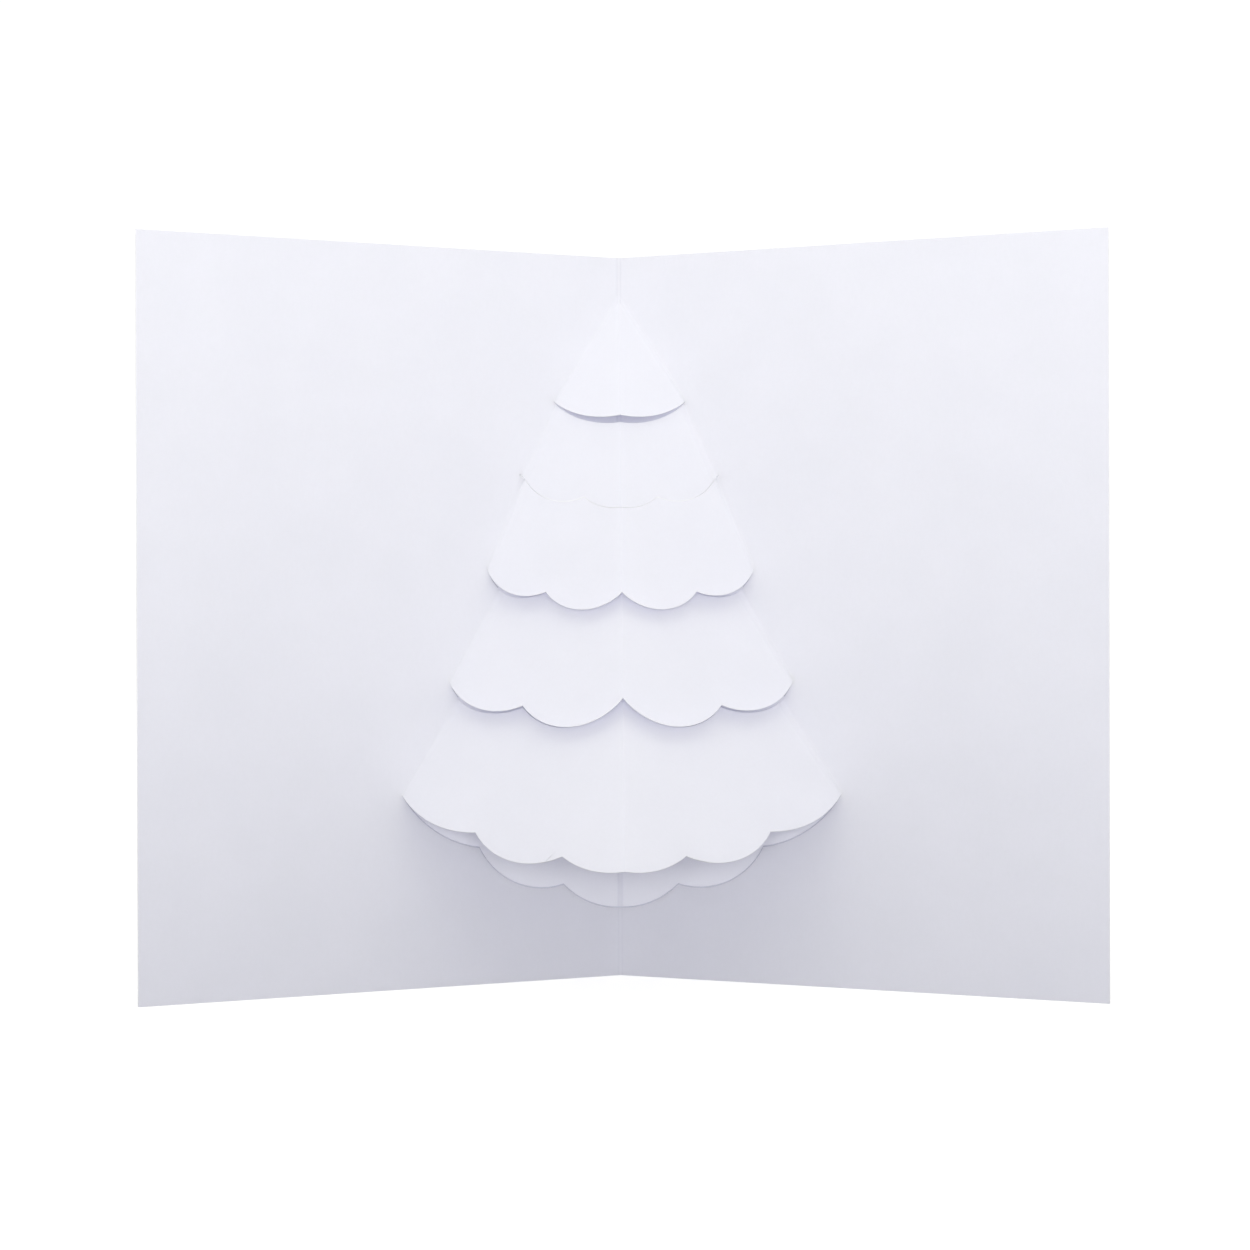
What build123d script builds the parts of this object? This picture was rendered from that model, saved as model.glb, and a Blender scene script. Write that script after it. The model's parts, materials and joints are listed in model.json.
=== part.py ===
# Pop-up greeting card with a cut-and-folded fir tree, standing open on its bottom edge.
#
# The card is two sheets of white card stock. The inner sheet is folded down its middle,
# and its tree is cut and folded out of the same sheet: five tiers, each hinged to the two
# leaves along slanting creases and folded forwards about the card's own fold. The cover
# sheet is plain, folded the same way and glued behind the leaves.
#
# Frame: millimetres, the fold upright, the leaves open towards -Y, and the bottom centre of
# the card's box at the origin. Both sheets are symmetric about the YZ plane, so the right
# half of each is drawn and then mirrored.
from build123d import *
from dataclasses import dataclass
from math import atan, cos, radians, sin, tan
import os

os.makedirs("parts", exist_ok=True)

# ---- Card ----
card_height = 178.0
leaf_width = 120.5
opening_angle = 135.0
inner_thickness = 0.3
cover_thickness = 0.35
cut_gap = 0.2

# ---- Tree ----
margin_above_tree = 9.6
margin_below_tree = 17.0
drawn_tree_height = 151.4


@dataclass
class Tier:
    """One tier as drawn on the flat sheet: out from the fold and down from the tree's top."""

    tip: float  # where its two creases would meet on the fold
    crease: float  # the angle between each crease and the fold
    corner: float  # how far from the fold the crease ends
    cusps: list  # the points between the scallops of its lower edge, from the corner inwards
    bulges: list  # the height of the arc that leads to each cusp
    middle: float = None  # the lowest point of a scallop that crosses the fold, if one does


tiers = [
    Tier(tip=0.0, crease=33.4, corner=17.5, cusps=[(0, 34.7)], bulges=[2.0]),
    Tier(tip=-10.4, crease=24.2, corner=25.1, cusps=[(9.5, 52.9)], bulges=[3.2], middle=57.0),
    Tier(tip=-10.4, crease=24.2, corner=35.1, cusps=[(19.6, 75.8), (0, 78.6)], bulges=[3.4, 4.4]),
    Tier(tip=23.6, crease=32.2, corner=44.9, cusps=[(25.5, 104.7), (0, 107.3)], bulges=[4.0, 6.4]),
    Tier(
        tip=39.5,
        crease=34.7,
        corner=57.0,
        cusps=[(37.4, 135.1), (15.4, 145.0)],
        bulges=[2.7, 4.3],
        middle=151.4,
    ),
]

# ---- Worked out from the sizes above ----
half_angle = radians(opening_angle / 2)
tree_scale = (card_height - margin_above_tree - margin_below_tree) / drawn_tree_height
overlap = 4 * inner_thickness  # how far a panel is drawn past a fold before it is trimmed
outwards = Vector(sin(half_angle), -cos(half_angle), 0)  # along the right leaf
backwards = Vector(cos(half_angle), sin(half_angle), 0)  # square to the right leaf


def lean(tier):
    """The angle between the tier's middle fold and the card's upright fold."""
    return 2 * atan(tan(radians(tier.crease)) * cos(half_angle))


def fold_length(tier):
    """The length of the tier's middle fold, from the point where its creases would meet."""
    lowest = tier.middle or tier.cusps[-1][1]
    return (lowest - tier.tip) * tree_scale


tree_reach = max(fold_length(tier) * sin(lean(tier)) for tier in tiers)
leaf_reach = leaf_width * cos(half_angle)
back_of_fold = (inner_thickness + cover_thickness) / sin(half_angle)
fold_y = (max(tree_reach, leaf_reach) - back_of_fold) / 2
tree_top = Vector(0, fold_y, card_height - margin_above_tree)
leaf_plane = Plane(origin=tree_top, x_dir=outwards, z_dir=-backwards)


# ---- Planes of a tier ----
def meeting_point(tier):
    """The point of the upright fold where the tier's creases would meet."""
    return tree_top - Vector(0, 0, tier.tip * tree_scale)


def crease_direction(tier):
    """Down the tier's right crease, which the leaf and the folded tier share."""
    angle = radians(tier.crease)
    return outwards * sin(angle) - Vector(0, 0, cos(angle))


def tier_plane(tier):
    """The folded tier's right half, with the same coordinates as on the flat sheet."""
    down_fold = Vector(0, -sin(lean(tier)), -cos(lean(tier)))
    across = crease_direction(tier) - down_fold * cos(radians(tier.crease))
    origin = meeting_point(tier) + down_fold * -tier.tip * tree_scale
    return Plane(origin=origin, x_dir=across, z_dir=down_fold.cross(across))


def mitre_plane(tier):
    """Through the right crease, halfway between the leaf and the tier, facing outwards."""
    halfway = backwards - tier_plane(tier).z_dir
    return Plane(origin=meeting_point(tier), z_dir=crease_direction(tier).cross(halfway))


# ---- Flat outlines, in sketch coordinates: x out from the fold, y up from the tree's top ----
def corner_point(tier):
    down = tier.tip + tier.corner / tan(radians(tier.crease))
    return Vector(tier.corner, -down) * tree_scale


def draw_cut(tier, drop):
    """The scalloped lower edge from the corner to the fold, lowered by drop. Gives its ends."""
    lowered = Vector(0, -drop)
    cusps = [Vector(out, -down) * tree_scale + lowered for out, down in tier.cusps]
    points = [corner_point(tier) + lowered] + cusps
    for start, end, bulge in zip(points, points[1:], tier.bulges):
        SagittaArc(start, end, bulge * tree_scale)
    if tier.middle:
        points.append(Vector(0, -tier.middle) * tree_scale + lowered)
        TangentArc(points[-1], points[-2], tangent=(1, 0))
    return points[0], points[-1]


def tier_outline(tier, past_crease, drop):
    """The tier between its creases' meeting point and its lower edge, past the fold too."""
    past_fold = Vector(-overlap, 0)
    sideways = Vector(past_crease, 0)
    tip = Vector(0, -tier.tip) * tree_scale
    corner = corner_point(tier)
    with BuildSketch() as outline:
        with BuildLine():
            start, end = draw_cut(tier, drop)
            right_side = [tip + sideways, corner + sideways, start]
            Polyline(end, end + past_fold, tip + past_fold, *right_side)
        make_face()
    return outline.sketch


def area_above(tier, drop):
    """All of the sheet that lies above the tier's lower edge."""
    sheet_top = margin_above_tree + card_height
    with BuildSketch() as area:
        with BuildLine():
            start, end = draw_cut(tier, drop)
            Polyline(
                end,
                (-2 * overlap, end.Y),
                (-2 * overlap, sheet_top),
                (leaf_width, sheet_top),
                (leaf_width, start.Y),
                start,
            )
        make_face()
    return area.sketch


# ---- Panels ----
def tier_panel(tier, tier_above):
    """The right half of a folded tier, mitred where it meets the leaf and its other half."""
    with BuildPart() as panel:
        with BuildSketch(tier_plane(tier)):
            add(tier_outline(tier, past_crease=overlap, drop=0))
            if tier_above:
                add(area_above(tier_above, drop=cut_gap), mode=Mode.SUBTRACT)
        extrude(amount=-inner_thickness)
        split(bisect_by=mitre_plane(tier), keep=Keep.BOTTOM)
        split(bisect_by=Plane.YZ, keep=Keep.TOP)
    return panel.part


def leaf_opening(tier, tier_above):
    """What the right leaf loses where a tier has folded out of it."""
    with BuildPart() as opening:
        with BuildSketch(leaf_plane):
            add(tier_outline(tier, past_crease=0, drop=cut_gap))
            if tier_above:
                add(area_above(tier_above, drop=0), mode=Mode.SUBTRACT)
        extrude(amount=overlap, both=True)
        split(bisect_by=mitre_plane(tier), keep=Keep.BOTTOM)
    return opening.part


def leaf_profile(front, back):
    """The right leaf from above, between two depths behind the card's inner faces."""
    fold = Vector(0, fold_y)
    edge = fold + outwards * leaf_width
    fold_front = fold + Vector(0, front / sin(half_angle))
    fold_back = fold + Vector(0, back / sin(half_angle))
    with BuildSketch() as profile:
        with BuildLine():
            edge_corners = [edge + backwards * front, edge + backwards * back]
            Polyline(fold_front, *edge_corners, fold_back, close=True)
        make_face()
    return profile.sketch


# ---- Inner sheet: two leaves and the five tiers folded out of them ----
with BuildPart() as inner_sheet:
    with BuildSketch():
        add(leaf_profile(front=0, back=inner_thickness))
    extrude(amount=card_height)
    for tier, tier_above in zip(tiers, [None] + tiers):
        add(leaf_opening(tier, tier_above), mode=Mode.SUBTRACT)
    for tier, tier_above in zip(tiers, [None] + tiers):
        add(tier_panel(tier, tier_above))
    mirror(about=Plane.YZ)
inner_sheet.part.label = "inner_sheet"

# ---- Cover sheet: plain, folded once and glued behind the inner sheet ----
with BuildPart() as cover_sheet:
    with BuildSketch():
        add(leaf_profile(front=inner_thickness, back=inner_thickness + cover_thickness))
    extrude(amount=card_height)
    mirror(about=Plane.YZ)
cover_sheet.part.label = "cover_sheet"

export_step(inner_sheet.part, "parts/inner_sheet.step")
export_step(cover_sheet.part, "parts/cover_sheet.step")
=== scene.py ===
# %% [markdown]
# # A pop-up card with a folded fir tree
#
# The real thing is two sheets of white card stock. The inner sheet carries the fir tree:
# five scalloped cuts and a handful of folds let it stand out of the page in one piece.
# The plain cover is glued behind it and closes the card's back.
#
# The CAD model holds both sheets at their true size and opening angle, so nothing is
# measured again here. This lesson adds what CAD leaves out: creases that are soft instead
# of razor sharp, stock that never lies perfectly flat, cut edges, fibres and light.

# %% Load the frame
import bpy
import json
from math import cos, hypot, pi, radians, sin
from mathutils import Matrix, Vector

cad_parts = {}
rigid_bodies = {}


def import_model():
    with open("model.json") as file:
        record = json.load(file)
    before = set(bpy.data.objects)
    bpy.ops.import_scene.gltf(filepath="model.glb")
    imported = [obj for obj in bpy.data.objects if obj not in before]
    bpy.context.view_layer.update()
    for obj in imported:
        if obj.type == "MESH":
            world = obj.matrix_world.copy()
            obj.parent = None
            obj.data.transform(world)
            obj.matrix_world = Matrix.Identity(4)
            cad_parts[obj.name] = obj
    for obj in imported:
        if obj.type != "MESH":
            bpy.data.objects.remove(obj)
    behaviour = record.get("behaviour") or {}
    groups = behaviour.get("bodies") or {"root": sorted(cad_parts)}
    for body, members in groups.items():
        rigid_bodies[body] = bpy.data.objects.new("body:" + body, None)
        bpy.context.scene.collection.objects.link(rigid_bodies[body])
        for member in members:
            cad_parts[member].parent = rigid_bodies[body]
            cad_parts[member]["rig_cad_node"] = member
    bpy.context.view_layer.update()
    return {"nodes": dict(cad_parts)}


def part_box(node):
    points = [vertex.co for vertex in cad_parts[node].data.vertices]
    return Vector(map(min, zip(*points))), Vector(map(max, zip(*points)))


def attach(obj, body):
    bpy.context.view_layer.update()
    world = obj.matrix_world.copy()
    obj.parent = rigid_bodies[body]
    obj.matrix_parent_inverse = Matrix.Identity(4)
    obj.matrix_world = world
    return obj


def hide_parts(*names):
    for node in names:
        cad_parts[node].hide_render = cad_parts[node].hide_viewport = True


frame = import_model()

# %% [markdown]
# ## Sizes that the rest of the lesson needs
#
# Blender works in metres, a paper cutter thinks in millimetres, so one constant turns one
# into the other. The spine's place and the card's height come from the CAD box of the
# inner sheet. The spine runs straight up at x = 0, and each leaf leans forward from it.

# %% Sizes
MM = 0.001
INNER_THICKNESS = 0.30 * MM
COVER_THICKNESS = 0.35 * MM
LEAF_LEAN = radians(22.5)
TREE_TOP = 168.4 * MM      # height of the tree's tip
ON_SPINE = 0.6 * MM        # how close to the spine a point counts as on it

inner_low, inner_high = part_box("inner_sheet")
spine_y = inner_high[1] - INNER_THICKNESS
card_height = inner_high[2] - inner_low[2]
half_width = inner_high[0]
print(f"card {2 * half_width / MM:.1f} x {card_height / MM:.1f} mm,",
      f"spine at y = {spine_y / MM:.2f} mm")

# %% [markdown]
# ## The face of the card stock
#
# White card is a felt of bleached fibres. Close up it shows four things: a faint cloudy
# unevenness where the fibres lie thicker, a fine woven grain left by the paper machine's
# felt, rare grey specks, and two fine score lines up the spine, where a painted shade
# marks the grooves.
# Some light also passes through the sheet, which is why the hollows behind the tiers never
# go dark. Subsurface scattering could do that, but a share of Translucent shader in each
# face gives the same look for a thin sheet in half the time. The rest is procedural noise
# on Object coordinates, so every piece cut from this stock shares one grain, and no picture
# has to be stored.

# %% Node helpers
def add_node(tree, kind, **settings):
    """Adds a node. A setting named after a socket fills it, any other one is a property."""
    node = tree.nodes.new(kind)
    for key, value in settings.items():
        socket = key.replace("_", " ")
        if socket in node.inputs:
            node.inputs[socket].default_value = value
        else:
            setattr(node, key.lower(), value)
    return node


def noise(tree, place, scale, detail=2.0, roughness=0.5):
    """Soft random blotches, about 1/scale metres across."""
    node = add_node(tree, "ShaderNodeTexNoise", Scale=scale, Detail=detail, Roughness=roughness)
    tree.links.new(place, node.inputs["Vector"])
    return node.outputs["Fac"]


def remap(tree, value, low, high, to_low, to_high):
    """Stretches the range low..high of a value to to_low..to_high."""
    node = add_node(tree, "ShaderNodeMapRange", From_Min=low, From_Max=high,
                    To_Min=to_low, To_Max=to_high)
    tree.links.new(value, node.inputs["Value"])
    return node.outputs["Result"]


def arithmetic(tree, operation, a, b):
    """One Math node. Either side may be a socket or a number."""
    node = tree.nodes.new("ShaderNodeMath")
    node.operation = operation
    for socket, side in zip(node.inputs, (a, b)):
        if isinstance(side, (int, float)):
            socket.default_value = side
        else:
            tree.links.new(side, socket)
    return node.outputs["Value"]


def tint(tree, amount, under, over):
    """Mixes two colours. Each may be a socket or an (r, g, b) tuple."""
    node = tree.nodes.new("ShaderNodeMix")
    node.data_type = "RGBA"
    tree.links.new(amount, node.inputs["Factor"])
    for name, side in (("A", under), ("B", over)):
        socket = next(s for s in node.inputs if s.name == name and s.type == "RGBA")
        if isinstance(side, tuple):
            socket.default_value = (*side, 1)
        else:
            tree.links.new(side, socket)
    return next(s for s in node.outputs if s.type == "RGBA")

# %% Card stock
SCORE_FROM_SPINE = 0.40 * MM
THROUGH_COLOUR = (0.90, 0.895, 0.985, 1)   # light comes out of the sheet a little bluer
GREY_SPECK = (0.52, 0.50, 0.50)
GROOVE_PAINTED_SHADE = (0.45, 0.45, 0.52)


def card_stock(name, white, shade, felt_depth, see_through, score=0.0):
    """A white card whose cloudy tone runs between the colours white and shade. felt_depth is
    the height of the grain, see_through the share of light that a face lets into the sheet,
    and score how dark the painted shade along the two score grooves beside the spine is."""
    stock = bpy.data.materials.new(name)
    stock.use_nodes = True
    tree = stock.node_tree
    body = tree.nodes["Principled BSDF"]
    body.inputs["Specular IOR Level"].default_value = 0.3

    place = tree.nodes.new("ShaderNodeTexCoord").outputs["Object"]
    along = add_node(tree, "ShaderNodeMapping", Scale=(0.25, 1.0, 1.0))
    across = add_node(tree, "ShaderNodeMapping", Scale=(1.0, 1.0, 0.25))
    tree.links.new(place, along.inputs["Vector"])
    tree.links.new(place, across.inputs["Vector"])

    clouds = remap(tree, noise(tree, place, 70, detail=5, roughness=0.6), 0.35, 0.65, 0, 1)
    threads = arithmetic(tree, "ADD", noise(tree, along.outputs["Vector"], 2600),
                         noise(tree, across.outputs["Vector"], 2200))
    fibres = noise(tree, place, 900, detail=6, roughness=0.7)

    speck = add_node(tree, "ShaderNodeTexVoronoi", Scale=47)
    tree.links.new(place, speck.inputs["Vector"])
    rare = add_node(tree, "ShaderNodeSeparateColor")
    tree.links.new(speck.outputs["Color"], rare.inputs["Color"])
    speck_here = arithmetic(tree, "MULTIPLY",
                            remap(tree, speck.outputs["Distance"], 0.012, 0.035, 1, 0),
                            remap(tree, rare.outputs["Red"], 0.70, 0.95, 0, 0.55))

    tone = tint(tree, clouds, white, shade)
    between_threads = tuple(0.86 * c for c in shade)
    tone = tint(tree, remap(tree, threads, 0.8, 1.2, 0.10, 0), tone, between_threads)
    tone = tint(tree, speck_here, tone, GREY_SPECK)
    # Painted shade: a lavender-grey line along each of the two score grooves beside the spine.
    if score:
        across_spine = add_node(tree, "ShaderNodeSeparateXYZ")
        tree.links.new(place, across_spine.inputs["Vector"])
        from_spine = arithmetic(tree, "ABSOLUTE", across_spine.outputs["X"], 0)
        past_line = arithmetic(tree, "SUBTRACT", from_spine, SCORE_FROM_SPINE)
        from_line = arithmetic(tree, "ABSOLUTE", past_line, 0)
        groove_shade_here = remap(tree, from_line, 0.07 * MM, 0.15 * MM, score, 0)
        tone = tint(tree, groove_shade_here, tone, GROOVE_PAINTED_SHADE)
    tree.links.new(tone, body.inputs["Base Color"])
    tree.links.new(remap(tree, fibres, 0.3, 0.7, 0.55, 0.72), body.inputs["Roughness"])

    felt = add_node(tree, "ShaderNodeBump", Strength=0.5, Distance=felt_depth)
    tree.links.new(threads, felt.inputs["Height"])
    grain = add_node(tree, "ShaderNodeBump", Strength=0.5, Distance=2.0 * felt_depth)
    tree.links.new(fibres, grain.inputs["Height"])
    tree.links.new(felt.outputs["Normal"], grain.inputs["Normal"])
    tree.links.new(grain.outputs["Normal"], body.inputs["Normal"])

    through = add_node(tree, "ShaderNodeBsdfTranslucent", Color=THROUGH_COLOUR)
    tree.links.new(grain.outputs["Normal"], through.inputs["Normal"])
    sheet = add_node(tree, "ShaderNodeMixShader", Fac=see_through)
    tree.links.new(body.outputs["BSDF"], sheet.inputs[1])
    tree.links.new(through.outputs["BSDF"], sheet.inputs[2])
    tree.links.new(sheet.outputs["Shader"], tree.nodes["Material Output"].inputs["Surface"])
    return stock


inner_stock = card_stock("inner_card_stock", (0.930, 0.933, 0.962), (0.914, 0.918, 0.948),
                         felt_depth=0.012 * MM, see_through=0.30)
cover_stock = card_stock("cover_card_stock", (0.955, 0.958, 0.984), (0.940, 0.944, 0.972),
                         felt_depth=0.016 * MM, see_through=0.20)
# The fold bands' stock is a touch darker than the face: painted shade in the creases. Its deeper
# grain is the fold's own.
fold_grain_and_shade = card_stock("fold_band_grain_and_painted_shade", (0.918, 0.921, 0.953), (0.902, 0.906, 0.939),
                          felt_depth=0.030 * MM, see_through=0.30, score=0.12)
# Painted shadow: the dark stock of the lip along the opening's free edge.
lip_painted_shadow = card_stock("card_lip_painted_shadow", (0.66, 0.66, 0.73), (0.62, 0.62, 0.69),
                         felt_depth=0.012 * MM, see_through=0.05)
print("face materials:", inner_stock.name, cover_stock.name, fold_grain_and_shade.name,
      lip_painted_shadow.name)

# %% [markdown]
# ## The cut edge
#
# A knife leaves the sheet's core bare: rougher, with fine layers that run along the sheet.
# Its tone is a touch whiter than the pressed face, a painted highlight for the light the
# thin edge catches, so it shows as a thin bright line round every scallop. It could be
# painted by height inside the face material, but a second material on the rim faces is
# simpler to read and to change.

# %% Cut edge
# Painted highlight: the core's tone runs whiter than the face stock.
CORE_HIGHLIGHT_WHITE = (0.965, 0.965, 0.975)
CORE_SHADE = (0.91, 0.91, 0.93)


def cut_core(name):
    """The bare fibre core that shows wherever the sheet was cut, a touch whiter as painted
    highlight.
    """
    core = bpy.data.materials.new(name)
    core.use_nodes = True
    tree = core.node_tree
    body = tree.nodes["Principled BSDF"]
    body.inputs["Specular IOR Level"].default_value = 0.2
    place = tree.nodes.new("ShaderNodeTexCoord").outputs["Object"]
    layers = noise(tree, place, 3500, detail=4, roughness=0.7)
    tone = tint(tree, remap(tree, layers, 0.3, 0.7, 0, 1), CORE_HIGHLIGHT_WHITE, CORE_SHADE)
    tree.links.new(tone, body.inputs["Base Color"])
    tree.links.new(remap(tree, layers, 0.3, 0.7, 0.7, 0.9), body.inputs["Roughness"])
    torn = add_node(tree, "ShaderNodeBump", Strength=0.6, Distance=0.03 * MM)
    tree.links.new(layers, torn.inputs["Height"])
    tree.links.new(torn.outputs["Normal"], body.inputs["Normal"])
    return core


cut_edge = cut_core("card_cut_edge")
print("edge material:", cut_edge.name)

# %% [markdown]
# ## From CAD sheet to paper, step one: take the front side
#
# A folded sheet could be drawn again from planes, but the CAD sheet already has every
# scallop in the right place. So each sheet starts as a copy of its CAD node. The copy is
# loose triangles; merging doubles and dissolving flat edges turns it into a few large
# faces. Only the faces of the front side are kept: one thin skin, folded but with no
# thickness yet. The CAD node itself is not touched. The copy is a new piece, so it drops
# the tag that names the CAD node.

# %% Take the front side
DOUBLES = 0.004 * MM
LARGE_FACE = 100 * MM * MM   # smaller faces belong to the cut rim


def work_on(piece):
    """Makes one piece the only selected and active one."""
    bpy.ops.object.select_all(action="DESELECT")
    piece.select_set(True)
    bpy.context.view_layer.objects.active = piece


def edit(kind, everything=False):
    """Enters edit mode with all or nothing of that kind selected."""
    bpy.ops.object.mode_set(mode="EDIT")
    bpy.ops.mesh.select_mode(type=kind)
    bpy.ops.mesh.select_all(action="SELECT" if everything else "DESELECT")


def leave_edit():
    """Goes back to object mode."""
    bpy.ops.object.mode_set(mode="OBJECT")


def front_skin(node_name, piece_name):
    """Copies a CAD sheet and keeps only the large faces of its front side."""
    work_on(frame["nodes"][node_name])
    bpy.ops.object.duplicate()
    piece = bpy.context.object
    piece.name = piece.data.name = piece_name
    del piece["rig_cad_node"]
    edit("FACE", everything=True)
    bpy.ops.mesh.remove_doubles(threshold=DOUBLES)
    bpy.ops.mesh.dissolve_limited(angle_limit=radians(0.5))
    bpy.ops.mesh.select_all(action="DESELECT")
    leave_edit()
    for face in piece.data.polygons:
        face.select = not (face.normal.y < 0 and face.area > LARGE_FACE)
    bpy.ops.object.mode_set(mode="EDIT")
    bpy.ops.mesh.delete(type="FACE")
    leave_edit()
    print(f"{piece_name}: {len(piece.data.polygons)} front faces,",
          f"{len(piece.data.vertices)} corners")
    return piece

# %% [markdown]
# ## The nearly closed slits
#
# The second and third tiers lie in one plane, so their scalloped cut hardly opens and
# shows only as a hairline, widest in the middle. The knife's gap in the CAD sheet is a
# little too wide for that, so the upper edge of the third tier slides up along its plane.
# The upper edges of the fourth and fifth tiers slide up too, just behind the scallops in
# front of them, as springy card does when it is let go.

# %% Close the slits
ABOVE_CENTRE = 8 * MM      # points this far above a half's centre are on its upper edge
END_RUN = 6 * MM           # length at each end over which the slide dies out
MIDDLE_RUN = 14 * MM       # reach of the eased middle to each side


def on_leaf(face):
    """Leaves stand upright, and the halves of the tiers lean."""
    return abs(face.normal.z) < 0.05


def close_slit(piece, tier, rise, ease=0.0):
    """Slides the upper edge of a tier (1 is the highest) towards the tier above, by rise.
    The slide dies out at both ends; ease is the share of it that the middle goes without."""
    points = piece.data.vertices
    fixed = {i for face in piece.data.polygons if on_leaf(face) for i in face.vertices}
    halves = sorted((face for face in piece.data.polygons if not on_leaf(face)),
                    key=lambda face: -face.center.z)[2 * tier - 2:2 * tier]
    upper = [(face, i) for face in halves for i in face.vertices
             if i not in fixed and points[i].co.z > face.center.z + ABOVE_CENTRE]
    reach = max(abs(points[i].co.x) for face, i in upper)
    slides = {}
    for face, i in upper:
        out = abs(points[i].co.x)
        eased = 1 - ease * max(0, 1 - out / MIDDLE_RUN)
        slide = rise * min(1, (reach - out) / END_RUN) * eased
        along = hypot(face.normal.y, face.normal.z)
        slides[i] = (slide * face.normal.z / along, -slide * face.normal.y / along)
    for i, (back, up) in slides.items():
        points[i].co.y += back
        points[i].co.z += up
    print(f"{piece.name}: {len(slides)} points of tier {tier}'s upper edge",
          f"slid up by {rise / MM:.2f} mm")

# %% [markdown]
# ## Step two: soften the creases
#
# Paper never folds to a sharp line. The fibres on the outside stretch, those inside
# buckle, and the fold becomes a narrow round band. A bevel gives just that. The side folds
# of the tree were only pressed by hand, so their bands are wide and soft; the middle folds
# were creased hard, so theirs are narrow. A Bevel modifier that goes by edge weight does
# all the widths at once, which keeps the tree's tip, where they meet, in one piece. Before
# folding, the spine was scored with a blunt double blade, so two fine grooves run up its
# band, one on each side of the middle.

# %% Soften the creases
SIDE_BAND = 1.3 * MM       # from a side fold's middle to where the paper is flat again
TIP_BAND = 0.8 * MM        # the same for the two side folds that meet at the tree's tip
SPINE_BAND = 0.85 * MM     # the same for the spine
HARD_BAND = 0.18 * MM      # and for the middle folds of the tiers
FOLD_STRIPS = 4
SCORE_DEPTH = 0.06 * MM
SCORE_REACH = 0.12 * MM    # points this close to a groove's line are pressed
FACE_SLOT, FOLD_SLOT, EDGE_SLOT, LIP_SLOT = range(4)


def apply_modifier(piece, kind, **settings):
    """Adds a modifier to a piece, sets it and applies it."""
    work_on(piece)
    modifier = piece.modifiers.new(kind.title(), kind)
    for key, value in settings.items():
        setattr(modifier, key, value)
    bpy.ops.object.modifier_apply(modifier=modifier.name)


def fold_band(ends):
    """The band's half-width for the fold between two points."""
    if all(abs(co.x) < 0.01 * MM for co in ends):
        return SPINE_BAND if all(co.y > spine_y - ON_SPINE for co in ends) else HARD_BAND
    return TIP_BAND if max(co.z for co in ends) > TREE_TOP - 1 * MM else SIDE_BAND


def soften_folds(piece):
    """Turns every edge that joins two faces into a round band as wide as its kind of fold."""
    owners = {}
    for face in piece.data.polygons:
        for key in face.edge_keys:
            owners[key] = owners.get(key, 0) + 1
    weights = piece.data.attributes.new("bevel_weight_edge", "FLOAT", "EDGE")
    counts = {SIDE_BAND: 0, TIP_BAND: 0, SPINE_BAND: 0, HARD_BAND: 0}
    for edge in piece.data.edges:
        if owners.get(edge.key, 0) == 2:
            band = fold_band([piece.data.vertices[i].co for i in edge.vertices])
            weights.data[edge.index].value = band / SIDE_BAND
            counts[band] += 1
    apply_modifier(piece, "BEVEL", limit_method="WEIGHT", width=SIDE_BAND, offset_type="OFFSET",
                   segments=FOLD_STRIPS, use_clamp_overlap=False, material=FOLD_SLOT)
    print(f"{piece.name}: folds softened:",
          ", ".join(f"{n} by {band / MM:.2f} mm" for band, n in counts.items()))


def score_spine(piece):
    """Presses back the two columns of points beside the band's middle, up the whole spine."""
    groove = SPINE_BAND * cos(LEAF_LEAN) / 2
    pressed = 0
    for v in piece.data.vertices:
        if abs(abs(v.co.x) - groove) < SCORE_REACH and v.co.y > spine_y - ON_SPINE:
            v.co.y += SCORE_DEPTH
            pressed += 1
    print(f"{piece.name}: {pressed} points pressed into the spine's two grooves")

# %% [markdown]
# ## Step three: a net of fine faces
#
# A face a hand wide can only stay flat. Cutting the skin with planes every few
# millimetres, upwards and sideways, gives it points that can move. Bisect is the tool:
# it cuts all selected faces along one plane and adds nothing else.

# %% Cut the net
NET = 3.0 * MM
NET_MARGIN = 0.5 * MM      # no cut runs closer to the sheet's edge


def steps(limit):
    """Distances NET apart, up to the margin before limit."""
    found = []
    step = NET
    while step < limit - NET_MARGIN:
        found.append(step)
        step += NET
    return found


def cut_net(piece):
    """Bisects the whole skin along level and upright planes, NET apart."""
    cuts = [((0, 0, level), (0, 0, 1)) for level in steps(card_height)]
    cuts += [((side * out, 0, 0), (1, 0, 0)) for side in (-1, 1) for out in steps(half_width)]
    for place, facing in cuts:
        edit("FACE", everything=True)
        bpy.ops.mesh.bisect(plane_co=place, plane_no=facing)
        leave_edit()
    print(f"{piece.name}: {len(piece.data.polygons)} faces after {len(cuts)} cuts")

# %% [markdown]
# ## Step four: let the paper relax
#
# Card stock takes up moisture and is held only at its folds and its glue, so a leaf bows
# by a few tenths of a millimetre and its outer edge comes forward a little. The same
# small movement is given to both sheets, so that they stay in touch. The free edge that
# the tree leaves in the page isn't glued; it stands off the cover by a hair. Extruding
# that edge back and up by a few tenths of a millimetre makes a narrow lip, and the lip
# is painted dark as shadow: that is the fine dark line along the opening.

# %% Relax
def leaf_bow(x, z):
    """How far a point of a leaf comes forward, in metres."""
    out = abs(x) / half_width
    up = z / card_height
    curl = 0.30 * out * out * (0.7 + 0.3 * cos(2 * pi * (up - 0.1)))
    ripple = (0.06 * out * sin(pi * (2.1 * up + 1.3 * out))
              + 0.04 * out * sin(pi * (3.7 * up - 2.2 * out + 0.4)))
    return (curl + ripple) * MM


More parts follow.
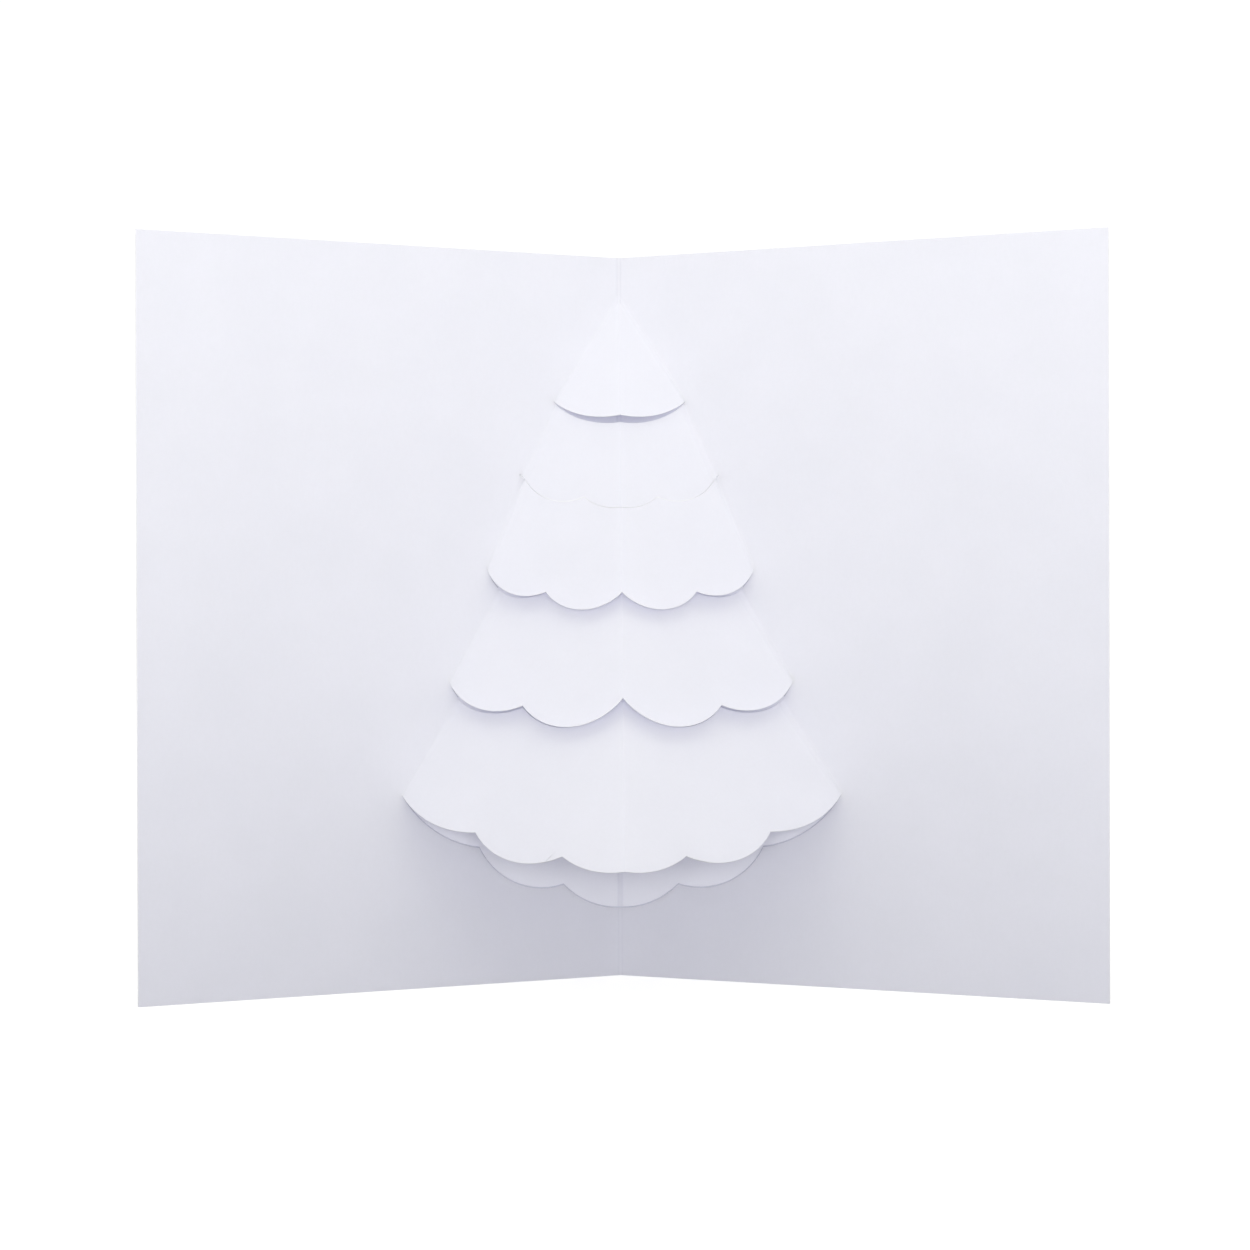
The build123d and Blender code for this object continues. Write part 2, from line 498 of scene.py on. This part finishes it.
def bring_forward(v, distance):
    """Moves a point square to its leaf."""
    side = 1 if v.co.x > 0 else -1
    v.co.x -= side * sin(LEAF_LEAN) * distance
    v.co.y -= cos(LEAF_LEAN) * distance


def relax(piece):
    """Moves every point of the skin forward by leaf_bow."""
    for v in piece.data.vertices:
        bring_forward(v, leaf_bow(v.co.x, v.co.z))
    piece.data.update()


def set_back(piece, film):
    """Leaves a film of air between the cover and the inner sheet."""
    for v in piece.data.vertices:
        v.co.y += film
    piece.data.update()

# %% Lift the opening's edge
LIP_BACK, LIP_UP = 0.22 * MM, 0.38 * MM
SIDE_MARGIN, END_MARGIN = 5 * MM, 2 * MM   # strips along the sheet's own edges that stay


def lift_opening(piece, lift):
    """Raises the free edge of the opening in the two leaves and gives it a lip painted dark as
    shadow.
    """
    owners = {}
    for face in piece.data.polygons:
        for key in face.edge_keys:
            owners.setdefault(key, []).append(on_leaf(face))
    inside = {v.index for v in piece.data.vertices
              if abs(v.co.x) < half_width - SIDE_MARGIN
              and END_MARGIN < v.co.z < card_height - END_MARGIN}
    free = {key for key, who in owners.items() if who == [True] and inside.issuperset(key)}
    rim = {i for key in free for i in key}
    for i in rim:
        bring_forward(piece.data.vertices[i], lift)
    edit("EDGE")
    leave_edit()
    for edge in piece.data.edges:
        edge.select = edge.key in free
    for v in piece.data.vertices:
        v.select = v.index in rim
    bpy.ops.object.mode_set(mode="EDIT")
    bpy.ops.mesh.extrude_edges_move(TRANSFORM_OT_translate={"value": (0, LIP_BACK, LIP_UP)})
    leave_edit()
    lips = 0
    for face in piece.data.polygons:
        new_points = sum(piece.data.vertices[i].select for i in face.vertices)
        rim_points = sum(i in rim for i in face.vertices)
        if len(face.vertices) == 4 and new_points == 2 and rim_points == 2:
            # These lip faces take the painted-shadow stock.
            face.material_index = LIP_SLOT
            lips += 1
    print(f"{piece.name}: {len(rim)} points of the opening's edge lifted",
          f"by {lift / MM:.2f} mm, {lips} faces of lip")

# %% [markdown]
# ## Step five: give the skin its thickness
#
# Solidify pushes a second skin out behind the first, keeps the true thickness round the
# folds, and closes the rim. A fine bevel rounds the knife's corners, and both take the
# material of the cut edge. Shading is smooth across the soft folds, and weighted normals
# keep the large faces flat right up to the folds.

# %% Thickness and finish
KNIFE_ROUNDING = 0.06 * MM
CORNER = radians(60)       # edges sharper than this are the knife's corners
SMOOTH = radians(40)       # and edges flatter than this are shaded smooth


def thicken(piece, thickness):
    """Gives the skin its thickness behind it, a cut rim and slightly rounded edges."""
    apply_modifier(piece, "SOLIDIFY", thickness=thickness, offset=-1, use_even_offset=True,
                   use_quality_normals=True, material_offset_rim=EDGE_SLOT)
    apply_modifier(piece, "BEVEL", limit_method="ANGLE", angle_limit=CORNER,
                   width=KNIFE_ROUNDING, offset_type="OFFSET", segments=2,
                   use_clamp_overlap=False, material=EDGE_SLOT)
    work_on(piece)
    bpy.ops.object.shade_smooth_by_angle(angle=SMOOTH)
    apply_modifier(piece, "WEIGHTED_NORMAL", weight=50, keep_sharp=True)
    print(f"{piece.name}: {sum(len(f.vertices) - 2 for f in piece.data.polygons)} triangles")


def dress(piece, *materials):
    """Gives a skin its materials, in the order of the slots."""
    piece.data.materials.clear()
    for material in materials:
        piece.data.materials.append(material)

# %% [markdown]
# ## The inner sheet with the tree
#
# All five steps, on the sheet that carries the tree. Its slits are closed while the skin
# still has only a few large faces, because each tier is then just two of them.

# %% Inner sheet
inner = front_skin("inner_sheet", "inner_paper")
dress(inner, inner_stock, fold_grain_and_shade, cut_edge, lip_painted_shadow)
close_slit(inner, 3, 0.16 * MM, ease=0.5)
close_slit(inner, 4, 0.25 * MM)
close_slit(inner, 5, 0.25 * MM)
soften_folds(inner)
score_spine(inner)
cut_net(inner)
relax(inner)
lift_opening(inner, 0.30 * MM)
thicken(inner, INNER_THICKNESS)
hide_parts("inner_sheet")
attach(inner, "root")

# %% [markdown]
# ## The plain cover
#
# The cover goes through the same steps. It has one fold only, the spine.

# %% Cover
cover = front_skin("cover_sheet", "cover_paper")
dress(cover, cover_stock, fold_grain_and_shade, cut_edge)
soften_folds(cover)
cut_net(cover)
relax(cover)
set_back(cover, 0.02 * MM)
thicken(cover, COVER_THICKNESS)
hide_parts("cover_sheet")
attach(cover, "root")

# %% [markdown]
# ## Floor
#
# A plain white floor. White paper on white ground has almost no shadow, so the floor
# glows a little by itself, which keeps the ground clean and leaves a faint contact shadow.
# Its bounce would light the card's lower edge too much, so it's left out of the light that
# the card receives, both on its faces and through them.

# %% Floor
bpy.ops.object.select_all(action="DESELECT")
bpy.ops.mesh.primitive_plane_add(size=6.0, location=(0, 0, 0))
floor = bpy.context.object
floor.name = "floor"
floor.visible_diffuse = False
floor.visible_transmission = False
floor_paint = bpy.data.materials.new("floor_white")
floor_paint.use_nodes = True
floor_body = floor_paint.node_tree.nodes["Principled BSDF"]
floor_body.inputs["Base Color"].default_value = (0.4, 0.4, 0.4, 1)
floor_body.inputs["Roughness"].default_value = 1.0
floor_body.inputs["Specular IOR Level"].default_value = 0.0
floor_body.inputs["Emission Color"].default_value = (1, 1, 1, 1)
floor_body.inputs["Emission Strength"].default_value = 0.78
floor.data.materials.append(floor_paint)

# %% [markdown]
# ## Light
#
# The light is a white tent: even and nearly shadowless. Four parts make it. The world
# gives the even light, and shows pure white to the camera. A soft box behind the camera
# fills the hollows behind the tiers, and a small one above lights the tree. A grey board,
# unseen just under the floor, takes light away from below, so that the card darkens softly
# towards its foot. White card hands light on many times inside its hollows, so more
# bounces than usual are followed.

# %% World
LIGHT_BOUNCES = 12
world = bpy.data.worlds.new("studio")
world.use_nodes = True
world_tree = world.node_tree
even = world_tree.nodes["Background"]
even.inputs["Color"].default_value = (1.0, 1.0, 1.0, 1)
even.inputs["Strength"].default_value = 0.72
backdrop = world_tree.nodes.new("ShaderNodeBackground")
backdrop.inputs["Color"].default_value = (1, 1, 1, 1)
backdrop.inputs["Strength"].default_value = 1.05
seen = world_tree.nodes.new("ShaderNodeLightPath")
choose = world_tree.nodes.new("ShaderNodeMixShader")
world_tree.links.new(seen.outputs["Is Camera Ray"], choose.inputs["Fac"])
world_tree.links.new(even.outputs["Background"], choose.inputs[1])
world_tree.links.new(backdrop.outputs["Background"], choose.inputs[2])
world_tree.links.new(choose.outputs["Shader"], world_tree.nodes["World Output"].inputs["Surface"])
scene = bpy.context.scene
scene.world = world
scene.cycles.diffuse_bounces = LIGHT_BOUNCES

# %% Soft box
def soft_box(name, place, turn, width, height, watts, colour):
    """A rectangular lamp. turn is its tilt about X in degrees: 0 shines down, 90 to the back."""
    lamp = bpy.data.lights.new(name, "AREA")
    lamp.shape = "RECTANGLE"
    lamp.size, lamp.size_y = width, height
    lamp.energy = watts
    lamp.color = colour
    box = bpy.data.objects.new(name, lamp)
    box.location = place
    box.rotation_euler = (radians(turn), 0, 0)
    scene.collection.objects.link(box)


soft_box("front_box", (0, -1.2, 0.08), 90, 0.6, 0.4, 9.0, (1.0, 1.0, 0.98))
soft_box("top_box", (0, -0.15, 0.35), 20, 0.4, 0.2, 0.2, (1.0, 1.0, 0.9))

# %% Grey board
bpy.ops.object.select_all(action="DESELECT")
bpy.ops.mesh.primitive_plane_add(size=1.0, location=(0, -0.02, -2 * MM))
board = bpy.context.object
board.name = "grey_board"
board.scale = (0.35, 0.30, 1)
board.visible_camera = False
board_paint = bpy.data.materials.new("board_grey")
board_paint.use_nodes = True
board_body = board_paint.node_tree.nodes["Principled BSDF"]
board_body.inputs["Base Color"].default_value = (0.11, 0.11, 0.17, 1)
board_body.inputs["Roughness"].default_value = 1.0
board.data.materials.append(board_paint)

# %% [markdown]
# ## Camera
#
# The card is seen straight from the front, from half its height and about 60 cm away.

# %% Camera
camera_data = bpy.data.cameras.new("camera")
camera_data.lens = 68.8
camera_data.sensor_width = 36
camera_data.shift_x = 0.032
camera = bpy.data.objects.new("camera", camera_data)
camera.location = (-11.42 * MM, spine_y - 592.9 * MM, card_height / 2 + 0.6 * MM)
camera.rotation_euler = (radians(90 - 0.252), radians(0.156), radians(-0.273))
scene.collection.objects.link(camera)
scene.camera = camera
scene.view_settings.view_transform = "Standard"
